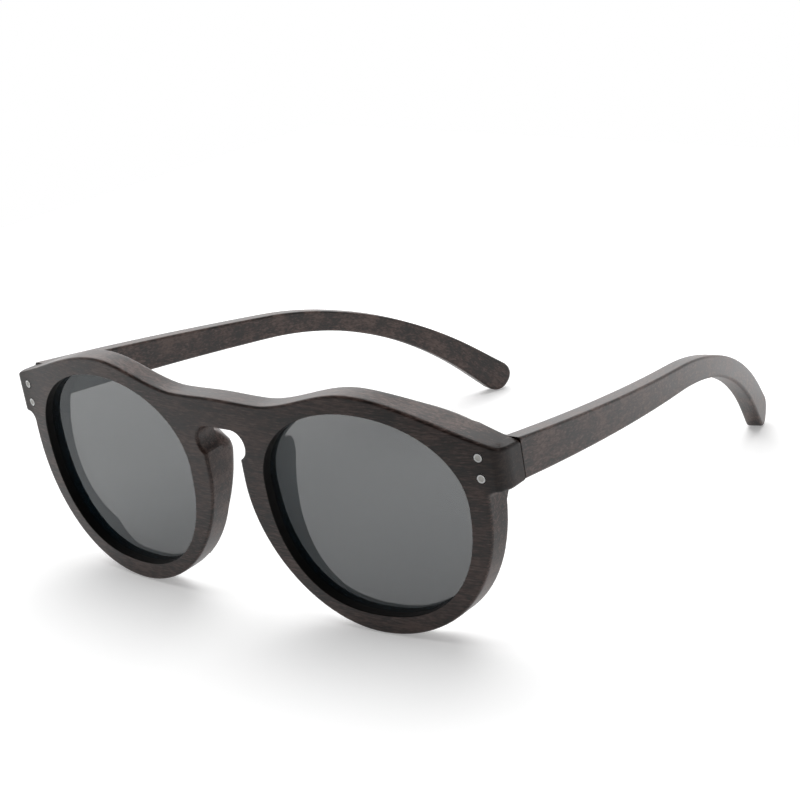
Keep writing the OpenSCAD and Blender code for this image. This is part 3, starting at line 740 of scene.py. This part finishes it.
def bend_front(x, deep, v):
    """Place on the wrapped front of a point of the flat board."""
    side = math.copysign(1, x)
    x = abs(x)
    across = (x - half_w + end_corner) / end_corner
    out = 1 - deep / end_corner
    if across > 0 and out > 0:
        far = max(across, out)
        far /= corner_reach(min(across, out) / far, v)
        angle = RIGHT_ANGLE / 2 * (across / out if across < out else 2 - out / across)
        x = half_w - end_corner + end_corner * far * math.sin(angle)
        deep = end_corner - end_corner * far * math.cos(angle)
    seam = seam_w - leaf_inset
    rim_rear = min(wrapped(x, rim_t), seam)
    along_brow = between(rim_rear, seam, ease((x - ramp_x) / end_ramp))
    up_side = between(wrapped(block_x, rim_t), seam, (v - block_foot) / (block_full - block_foot))
    up_side -= (x - block_x) * math.tan(block_lean)
    rear = along_brow if v > block_full else max(rim_rear, min(along_brow, up_side))
    w = between(wrapped(x, 0), rear, deep / rim_t)
    fall = (w - wrapped(x, 0)) * math.tan(end_droop)
    fall *= ease((x - droop_from) / (droop_to - droop_from))
    fall *= ease((v - brow(min(x, brow_end)) + droop_depth) / droop_depth)
    return Vector((side * x, w, v - fall))


bend(blank, bend_front)
bmesh.ops.transform(blank, matrix=front_board, verts=blank.verts)
finish_piece("front_wood", blank, front_finishes, "front", "front_frame")

# %% [markdown]
# ## The lenses
# A lens is a disc of the opening's shape, a little larger so that it sits in the groove. A ring of
# edges is drawn inwards again and again, which leaves enough vertices to lay the disc on the wrap.
# Solidify then gives it its two faces.

# %% Lenses
lens_t = 2
lens_set = 2.1
groove_d = 0.8
LENS_RINGS = 8
lens = bmesh.new()
lens_points = opening(groove_d)
bmesh.ops.create_circle(lens, segments=len(lens_points), radius=1)
lens_ring = sorted(lens.verts, key=lambda vert: math.atan2(vert.co.y, vert.co.x) % FULL_TURN)
for vert, (x, v) in zip(lens_ring, lens_points):
    vert.co = (x, lens_set + lens_t / 2, v)
ring_edges = lens.edges[:]
lens_middle = Vector((lens_x, lens_set + lens_t / 2, lens_v))
for ring in range(LENS_RINGS, 1, -1):
    drawn = bmesh.ops.extrude_edge_only(lens, edges=ring_edges)["geom"]
    ring_edges = only(bmesh.types.BMEdge, drawn)
    bmesh.ops.scale(lens, vec=[(ring - 1) / ring] * 3, verts=only(bmesh.types.BMVert, drawn),
                    space=Matrix.Translation(-lens_middle))
bmesh.ops.triangle_fill(lens, edges=[edge for edge in ring_edges if edge.is_boundary],
                        use_beauty=True)
bmesh.ops.recalc_face_normals(lens, faces=lens.faces[:])
bmesh.ops.solidify(lens, geom=lens.faces[:], thickness=lens_t)
set_back = lens_set - min(vert.co.y for vert in lens.verts)
bend(lens, lambda x, deep, v: Vector((x, wrapped(x, deep + set_back), v)))
bmesh.ops.transform(lens, matrix=front_board, verts=lens.verts)
finish_pair("lens", lens, [tint], "tint", "lens")

# %% [markdown]
# ## The nose pads
# Behind each rim, beside the nose, a wooden pad is glued on. It is low at its foot, rises to a
# crest under the keyhole and ends there in a round, and its back leans towards the nose. A grid is
# laid over that form: one way along the pad and the other way over its crest, and the hole on the
# glued side is filled.

# %% Form of a nose pad
pad_crest = 6.8
pad_drop = 3.3
pad_crest_drop = 9.1
pad_lip = 0.35
pad_sunk = 0.15
pad_soft = 5
neck_top = key_v - key_r * math.sin(key_angle)
pad_peak_v = key_top - pad_crest_drop


def nose_edge(v):
    """Where the rim ends towards the nose at a height."""
    if v < lens_v:
        reach = (1 - (1 - v / lens_v) ** rim_curve_nose) ** (1 / rim_curve_nose)
        return lens_x - (lens_x - neck_x) * reach
    if v < neck_top:
        return neck_x
    return key_x + math.sqrt(key_r ** 2 - (v - key_v) ** 2)


def lens_edge(v):
    """Where the lens opening starts at a height."""
    curve = open_curve_up if v > lens_v else open_curve_down
    share = abs(v - lens_v) / (lens_h - lens_waist if v > lens_v else lens_waist)
    return lens_x - lens_apex * (1 - share ** curve) ** (1 / curve)


def pad_height(v):
    """How far the pad stands behind the rim at a height, at its lens side."""
    if v < pad_peak_v:
        rise = (v - pad_foot) / (pad_peak_v - pad_foot)
    else:
        rise = math.sqrt(max(1 - ((v - pad_peak_v) / (pad_end_v - pad_peak_v)) ** 2, 0))
    return pad_lip + (pad_crest - pad_lip) * rise


def over_pad(along, round_share):
    """A point of the pad: along it from foot to top, and over it from lens side to nose side."""
    v = between(pad_foot, pad_end_v, along)
    low = nose_edge(v)
    high = lens_edge(v)
    angle = math.pi * round_share
    side = curve_power(math.cos(angle), pad_soft)
    x = (low + high) / 2 + (high - low) / 2 * side
    crest = pad_height(v)
    stands = between(max(pad_lip, crest - pad_drop), crest, (1 + side) / 2)
    stands *= curve_power(max(math.sin(angle), 0), pad_soft)
    return Vector((x, wrapped(x, rim_t) - pad_sunk + stands, v))


print("pad from", pad_foot, "to", round(pad_end_v, 2), "mm up, highest at", round(pad_peak_v, 2), "mm")

# %% Nose pads
PAD_RINGS = 36
PAD_ROUND = 20
GRID_HALF = 0.5
pad_cut = Vector((0.4, 0.1, 0))
pad = bmesh.new()
bmesh.ops.create_grid(pad, x_segments=PAD_RINGS, y_segments=PAD_ROUND, size=GRID_HALF)
for vert in pad.verts:
    vert.co = over_pad(vert.co.x + GRID_HALF, vert.co.y + GRID_HALF)
bmesh.ops.holes_fill(pad, edges=[edge for edge in pad.edges if edge.is_boundary])
store_grain(pad, pad_cut)
bmesh.ops.transform(pad, matrix=front_board, verts=pad.verts)
finish_pair("nose_pad", pad, [wood], "wood", "nose_pad")

# %% [markdown]
# ## The arms
# An arm starts as a straight board that narrows to a waist and widens again to a squarish tip. A
# grid of one row gives its side view, an extrusion its thickness, and a bevel its rounded edges.

# %% Straight arm
temple_t = 4.2
waist_h = 5.1
waist_at = 89
tip_h = 7.8
tip_curve = 2.2
temple_straight = 66.8
bend_r = 104
bend_angle = math.radians(36.5)
tip_len = 12.05
seam = 0.12
arm_round = 0.7
taper_power = 1.1
flare_power = 2
bend_end = temple_straight + bend_r * bend_angle
temple_end = bend_end + tip_len
tip_r = tip_h / 2
tip_at = temple_end - tip_r
arm_from = -2 * pin_back - seam
ARM_STEPS = 70
TIP_STEPS = 12


def arm_height(s):
    """Height of the arm at a distance from the pin."""
    if s < waist_at:
        share = min(1, (waist_at - s) / (waist_at + pin_back))
        return between(waist_h, temple_h, share ** taper_power)
    return between(waist_h, tip_h, ((s - waist_at) / (tip_at - waist_at)) ** flare_power)


def arm_station(step):
    """Distance from the pin and height of the board at one step along the arm."""
    if step <= ARM_STEPS:
        s = between(arm_from, tip_at, step / ARM_STEPS)
        return s, arm_height(s)
    angle = RIGHT_ANGLE * (step - ARM_STEPS) / TIP_STEPS
    ahead = math.sin(angle) ** (2 / tip_curve)
    share = max(math.cos(angle), 0) ** (2 / tip_curve)
    return tip_at + tip_r * ahead, tip_h * share


arm = bmesh.new()
bmesh.ops.create_grid(arm, x_segments=ARM_STEPS + TIP_STEPS, y_segments=1, size=GRID_HALF)
for vert in arm.verts:
    s, high = arm_station(round((vert.co.x + GRID_HALF) * (ARM_STEPS + TIP_STEPS)))
    vert.co = (-temple_t / 2, s, math.copysign(high / 2, vert.co.y))
bmesh.ops.remove_doubles(arm, verts=arm.verts[:], dist=TINY)
thick = bmesh.ops.extrude_face_region(arm, geom=arm.faces[:])["geom"]
bmesh.ops.translate(arm, verts=only(bmesh.types.BMVert, thick), vec=(temple_t, 0, 0))
bmesh.ops.recalc_face_normals(arm, faces=arm.faces[:])
long_edges = [edge for edge in arm.edges if edge.calc_face_angle() > SHARP_ANGLE]
round_edges(arm, long_edges, arm_round, segments=4)
print("arm", round(temple_end, 1), "mm long,", len(long_edges), "edges rounded")

# %% [markdown]
# ## The front end of the arms
# The front end is sawn off parallel to the seam and closed with a face, whose rim is only just
# rounded. Two slices behind it mark where a shallow rebate ends, which the bend will press in to
# leave room for the knuckles.

# %% Sawn front end and hinge rebate
clear_r = 1.75
rebate_end = 2.6
rebate_step = 0.1
end_round = 0.06
seam_lean = front_tilt + droop
seam_normal = Vector((0, math.cos(seam_lean), math.sin(seam_lean)))
sawn_end = slice_shape(arm, seam_normal * (seam - pin_back), seam_normal, clear_inner=True)
end_face = bmesh.ops.contextual_create(arm, geom=only(bmesh.types.BMEdge, sawn_end))["faces"]
end_rim = [edge for face in end_face for edge in face.edges]
round_edges(arm, end_rim, end_round, segments=2)
for place in (rebate_end, rebate_end + rebate_step):
    slice_shape(arm, (0, place, 0), (0, 1, 0))
print("arm end leans", round(math.degrees(seam_lean), 2), "degrees, faces", len(arm.faces))

# %% [markdown]
# ## Bending the arms
# The straight arm bends down over the ear along an arc and bows inwards all the way. As with the
# front, the grain is stored first and then one function moves every vertex. The arms are cut from
# curlier wood, so their grain is stored with shorter streaks. The rebate is made by the same
# function: near the pin the inner face is drawn back to leave the knuckles their room.

# %% Bent arms
toe_in = math.tan(math.radians(0.5))
bow_r = 360
arm_figure = 2.4
left_cut = Vector((0.2, 0.05, 0))
right_cut = Vector((0.7, 0.35, 0))


def spine(s):
    """Place of the arm's middle line and the angle it has turned through."""
    turn = min(max((s - temple_straight) / bend_r, 0), bend_angle)
    beyond = max(s - bend_end, 0)
    along = min(s, temple_straight) + bend_r * math.sin(turn) + beyond * math.cos(bend_angle)
    up = -bend_r * (1 - math.cos(turn)) - beyond * math.sin(bend_angle)
    return along, up, turn


def bend_arm(across, s, high):
    """Place on the bent left arm of a point of the straight one."""
    along, up, turn = spine(s)
    y = along + high * math.sin(turn)
    from_pin = y + pin_back
    bow = from_pin * toe_in + math.copysign(from_pin ** 2, from_pin) / (2 * bow_r)
    lean = math.atan(toe_in + abs(from_pin) / bow_r)
    inner = across - temple_t / 2
    x = pin_in - bow + inner * math.cos(lean)
    if s <= rebate_end + TINY:
        x = max(x, clear_r)
    return Vector((x, y + inner * math.sin(lean), up + high * math.cos(turn)))


right_arm = arm.copy()
for shape, cut in ((arm, left_cut), (right_arm, right_cut)):
    layer = shape.verts.layers.float_vector.new("grain")
    for vert in shape.verts:
        vert[layer] = Vector((vert.co.y * arm_figure, vert.co.x, vert.co.z)) * MM + cut
    bend(shape, bend_arm)
    bmesh.ops.transform(shape, matrix=arm_board, verts=shape.verts)
finish_piece("temple_right_wood", mirrored(right_arm), [wood], "right_arm", "temple_right")
finish_piece("temple_left_wood", arm, [wood], "left_arm", "temple_left")

# %% [markdown]
# ## The rivets
# Two steel rivets hold each hinge leaf. Their heads show on the front as small discs with a bright
# turned rim, which is a painted highlight, a duller, slightly dished middle and a thin dark ring round
# them, which is a painted shadow. A profile of a few points is spun about the rivet's axis, as on a
# lathe.

# %% Turned rivet
rivet_head_r = 1.1
rivet_head_h = 0.7
rivet_proud = 0.08
rivet_r = 0.8
rivet_tail = 2 * rim_t
middle_reach = 0.62
middle_depth = -0.03
rim_inner = 0.7
rim_crest = 0.8
rim_outer = 0.9
rim_slope = -0.07
rim_reach = 0.98
shadow_ring_depth = -0.012
SPIN_STEPS = 40
head_depth = rivet_head_h - rivet_proud
rivet_profile = (
    (0, middle_depth), (middle_reach, middle_depth), (rim_inner, rim_slope), (rim_crest, -rivet_proud),
    (rim_outer, rim_slope), (rim_reach, shadow_ring_depth), (rivet_head_r, shadow_ring_depth), (rivet_head_r, head_depth),
    (rivet_r, head_depth), (rivet_r, rivet_tail), (0, rivet_tail))
rivet_finishes = [middle_steel_painted_reflection, rim_steel_painted_highlight, groove_and_shadow_black]
rivets = bmesh.new()
turned = [rivets.verts.new((r, 0, deep)) for r, deep in rivet_profile]
profile_edges = [rivets.edges.new(pair) for pair in zip(turned, turned[1:])]
bmesh.ops.spin(rivets, geom=turned + profile_edges, cent=(0, 0, 0), axis=(0, 0, 1),
               angle=FULL_TURN, steps=SPIN_STEPS, use_merge=True)
bmesh.ops.remove_doubles(rivets, verts=rivets.verts[:], dist=TINY)
for face in rivets.faces:
    reach = max(vert.co.xy.length for vert in face.verts)
    # Faces of the flat ring outside the rim get the dark groove finish: a painted shadow round the head.
    on_shadow_ring = reach > rim_reach and all(vert.co.z < shadow_ring_depth + TINY for vert in face.verts)
    rim_finish = groove_and_shadow_black if on_shadow_ring else rim_steel_painted_highlight
    face.material_index = rivet_finishes.index(middle_steel_painted_reflection if reach < middle_reach + TINY else rim_finish)
print("one rivet has", len(rivets.faces), "faces")

# %% [markdown]
# ## Setting the rivets
# A copy of the turned rivet makes the lower one. Both are stood square to the wrapped surface of the
# end piece, one above the other, and their tails are sawn off flush with the leaf.

# %% Rivets
rivet_in = 5.2
rivet_rise = 0.45
rivet_gap = 4.5
rivet_turn = math.asin((half_w - rivet_in) / wrap_r)
rivet_v = (end_top + end_bottom) / 2 + rivet_rise
lower = bmesh.ops.duplicate(rivets, geom=everything(rivets))["geom"]
lower_verts = only(bmesh.types.BMVert, lower)
upper_verts = [vert for vert in rivets.verts if vert not in set(lower_verts)]
for verts, up in ((lower_verts, -1), (upper_verts, 1)):
    place = Vector((wrap_r * math.sin(rivet_turn), wrap_r - wrap_r * math.cos(rivet_turn),
                    rivet_v + up * rivet_gap / 2))
    set_in = (
        Matrix.Translation(place)
        @ Matrix.Rotation(rivet_turn, 4, "Z")
        @ Matrix.Rotation(-RIGHT_ANGLE, 4, "X")
    )
    bmesh.ops.transform(rivets, matrix=set_in, verts=verts)
slice_shape(rivets, (0, seam_w, 0), (0, 1, 0), clear_outer=True)
bmesh.ops.holes_fill(rivets, edges=[edge for edge in rivets.edges if edge.is_boundary])
bmesh.ops.transform(rivets, matrix=front_board, verts=rivets.verts)
finish_pair("rivets", rivets, rivet_finishes, "steel", "front_rivets")

# %% [markdown]
# ## The hinge hardware
# Leaves, screws, shuttles, nuts and housings keep the shapes of the solid model, which are made
# by turning and milling and look right as they are. Behind dark lenses bare steel would flash, so
# these parts are blackened: a thin dark oxide that is a little worn where the noise is high.

# %% Blackened steel on the hinge parts
oxide_black = (0.010, 0.010, 0.011, 1)
oxide_worn = (0.030, 0.030, 0.032, 1)
oxide_satin = 0.35
wear_dulls = 0.2
dark_steel, wire = new_finish("blackened_steel")
oxide_place = wire.node("ShaderNodeTexCoord", output="Object")
oxide_wear = wire.node("ShaderNodeTexNoise", None, {"Vector": oxide_place, "Scale": 900, "Detail": 4})
end_finish(dark_steel, wire, {
    "Base Color": blend_colours(wire, oxide_wear, oxide_black, oxide_worn),
    "Roughness": oxide_satin + oxide_wear * wear_dulls})
hinge_parts = ("hinge_leaf", "hinge_screw", "hinge_shuttle", "shuttle_nut", "spring_housing",
               "housing_screws")
for part in hinge_parts:
    for side in ("left", "right"):
        node = frame["nodes"][part + "_" + side]
        node.data.materials.clear()
        node.data.materials.append(dark_steel)
print("blackened", 2 * len(hinge_parts), "hinge parts")

# %% [markdown]
# ## The springs
# A coil spring sits on each rod between the housing and the nut. When an arm is pulled back, the
# nut stays and the housing presses the coil shorter, so a stiff copy would run through the nut. The
# coil of the solid model is merged into one skin, the reach of each point along the rod is worked
# out, and the coil is hung on its arm.

# %% Springs
for side in ("left", "right"):
    coil = bmesh.new()
    coil.from_mesh(frame["nodes"]["hinge_spring_" + side].data)
    bmesh.ops.remove_doubles(coil, verts=coil.verts[:], dist=TINY * MM)
    flex = joints["flex_" + side]
    rod = Vector(flex["axis"]).normalized()
    reach = [vert.co.dot(rod) for vert in coil.verts]
    spring = finish_piece("spring_" + side + "_steel", coil, [dark_steel], side + "_arm",
                          "hinge_spring_" + side)
    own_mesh(spring)

# %% [markdown]
# ## The floor
# The glasses lie on a white sheet. It is pale and catches the soft shadows, and to the camera and in
# reflections it adds a little of its own white. Reflections see only the part of it that lies round
# the glasses, and past it they see the room, so the sheet fades out for every ray but the camera's.

# %% Floor
floor_half = 0.35
floor_middle = Vector((0, -0.02, 0))
floor_reach = Vector((0.27, 0.12, 1))
floor_edge = (0.9, 1.25)
floor_drop = 0.00002
floor_glow = 0.30
edge_glow = 0.35
floor_dull = 0.7
speck_dulls = 0.1
floor_finish, wire = new_finish("pale_floor")


def ray(wire, kind):
    """One for a ray of that kind and nothing for the others."""
    return wire.node("ShaderNodeLightPath", output="Is " + kind + " Ray")


floor_place = wire.node("ShaderNodeTexCoord", output="Object")
floor_specks = wire.node("ShaderNodeTexNoise", None, {"Vector": floor_place, "Scale": 400})
to_camera = ray(wire, "Camera")
sees_floor = to_camera + ray(wire, "Glossy") + ray(wire, "Transmission")
from_middle = vector_sum(wire, "SUBTRACT", floor_place, floor_middle)
from_middle = vector_sum(wire, "DIVIDE", from_middle, floor_reach)
from_middle = wire.node("ShaderNodeVectorMath", {"operation": "LENGTH"}, {0: from_middle}, "Value")
floor_fade = remap(wire, from_middle, floor_edge, (1, 0), "SMOOTHSTEP")
end_finish(floor_finish, wire, {
    "Base Color": (0.86, 0.86, 0.86, 1), "Roughness": floor_dull + floor_specks * speck_dulls,
    "Specular IOR Level": 0.0, "Alpha": 1 - (1 - floor_fade) * (1 - to_camera),
    "Emission Color": sees_floor * (floor_glow + (1 - floor_fade) * edge_glow), "Emission Strength": 1.0})
floor_shape = bmesh.new()
bmesh.ops.create_grid(floor_shape, x_segments=1, y_segments=1, size=floor_half)
bmesh.ops.translate(floor_shape, verts=floor_shape.verts, vec=(0, 0, -floor_drop))
floor_mesh = bpy.data.meshes.new("floor")
floor_shape.to_mesh(floor_mesh)
floor_shape.free()
floor_mesh.materials.append(floor_finish)
floor = bpy.data.objects.new("floor", floor_mesh)
bpy.context.scene.collection.objects.link(floor)
print("floor", 2 * floor_half, "m wide")

# %% [markdown]
# ## The room
# The studio is lit from behind. The room is bright at the back and low down, dim at the camera's side
# and dimmest overhead, with one soft window high at the back, so that tops shine, the front stays
# dark towards its right end and rounded edges show as dark lines. The camera itself sees plain white.

# %% World
studio_back = Vector((-0.25, 0.97, 0)).normalized()
window_side = Vector((-0.54, 0.62, 0.57)).normalized()
room_limits = (-0.85, 0.15)
room_light = (0.05, 1.95)
ceiling_limits = (0.35, 0.72)
ceiling_share = (1, 0.15)
horizon_limits = (-0.15, 0.12)
horizon_share = (1, 0.44)
window_limits = (math.cos(math.radians(38)), 1)
window_light = (0, 1.9)
world = bpy.data.worlds.new("studio")
world.use_nodes = True
world.node_tree.nodes.clear()
wire = Wire(world.node_tree)
sky = wire.node("ShaderNodeTexCoord", output="Generated")
height = wire.node("ShaderNodeSeparateXYZ", None, {"Vector": sky}, "Z")
backward = vector_sum(wire, "DOT_PRODUCT", sky, studio_back, "Value")
to_window = vector_sum(wire, "DOT_PRODUCT", sky, window_side, "Value")
room = remap(wire, backward, room_limits, room_light)
ceiling = remap(wire, height, ceiling_limits, ceiling_share, "SMOOTHSTEP")
horizon = remap(wire, height, horizon_limits, horizon_share, "SMOOTHSTEP")
window = remap(wire, to_window, window_limits, window_light, "SMOOTHSTEP")
seen = ray(wire, "Camera")
studio = (room * ceiling * horizon + window) * (1 - seen) + seen
background = wire.node("ShaderNodeBackground", None, {"Color": studio, "Strength": 1.0})
wire.node("ShaderNodeOutputWorld", None, {"Surface": background})
bpy.context.scene.world = world
print("world has", len(world.node_tree.nodes), "nodes")

# %% [markdown]
# ## The lamp
# One wide lamp above fills the shadows. Polished pieces would show it as a square, so it is kept out
# of reflections.

# %% Lamp
lamp_size = 1.6
lamp_watts = 17
lamp_place = Vector((-0.25, 0.25, 1.2))
lamp_data = bpy.data.lights.new("overhead_softbox", "AREA")
lamp_data.shape = "SQUARE"
lamp_data.size = lamp_size
lamp_data.energy = lamp_watts
lamp = bpy.data.objects.new("overhead_softbox", lamp_data)
lamp.location = lamp_place
lamp.rotation_euler = (-lamp_place).to_track_quat("-Z", "Y").to_euler()
lamp.visible_glossy = False
bpy.context.scene.collection.objects.link(lamp)
print("lamp", lamp_watts, "watts")

# %% [markdown]
# ## The camera
# The picture is taken from the front and a little above, from the wearer's left, with a long lens
# and a slight roll. The camera is turned about a point between the rims and the arms.

# %% Camera
camera_azimuth = math.radians(41.001)
camera_height = math.radians(17.778)
camera_roll = math.radians(-6.41)
camera_lens = 102.28
camera_distance = 0.515687
camera_near = 0.01
camera_aim = Vector((0.005572, -0.022323, 0.032341))
backwards = Vector((math.sin(camera_azimuth) * math.cos(camera_height),
                    -math.cos(camera_azimuth) * math.cos(camera_height), math.sin(camera_height)))
looking = backwards.to_track_quat("Z", "Y").to_matrix().to_4x4()
camera_data = bpy.data.cameras.new("camera")
camera_data.lens = camera_lens
camera_data.clip_start = camera_near
camera = bpy.data.objects.new("camera", camera_data)
camera.matrix_world = (
    Matrix.Translation(camera_aim + backwards * camera_distance)
    @ looking
    @ Matrix.Rotation(camera_roll, 4, "Z")
)
bpy.context.scene.collection.objects.link(camera)
bpy.context.scene.camera = camera
bpy.context.scene.view_settings.view_transform = "Standard"
print("camera at", [round(value, 4) for value in camera.matrix_world.translation])
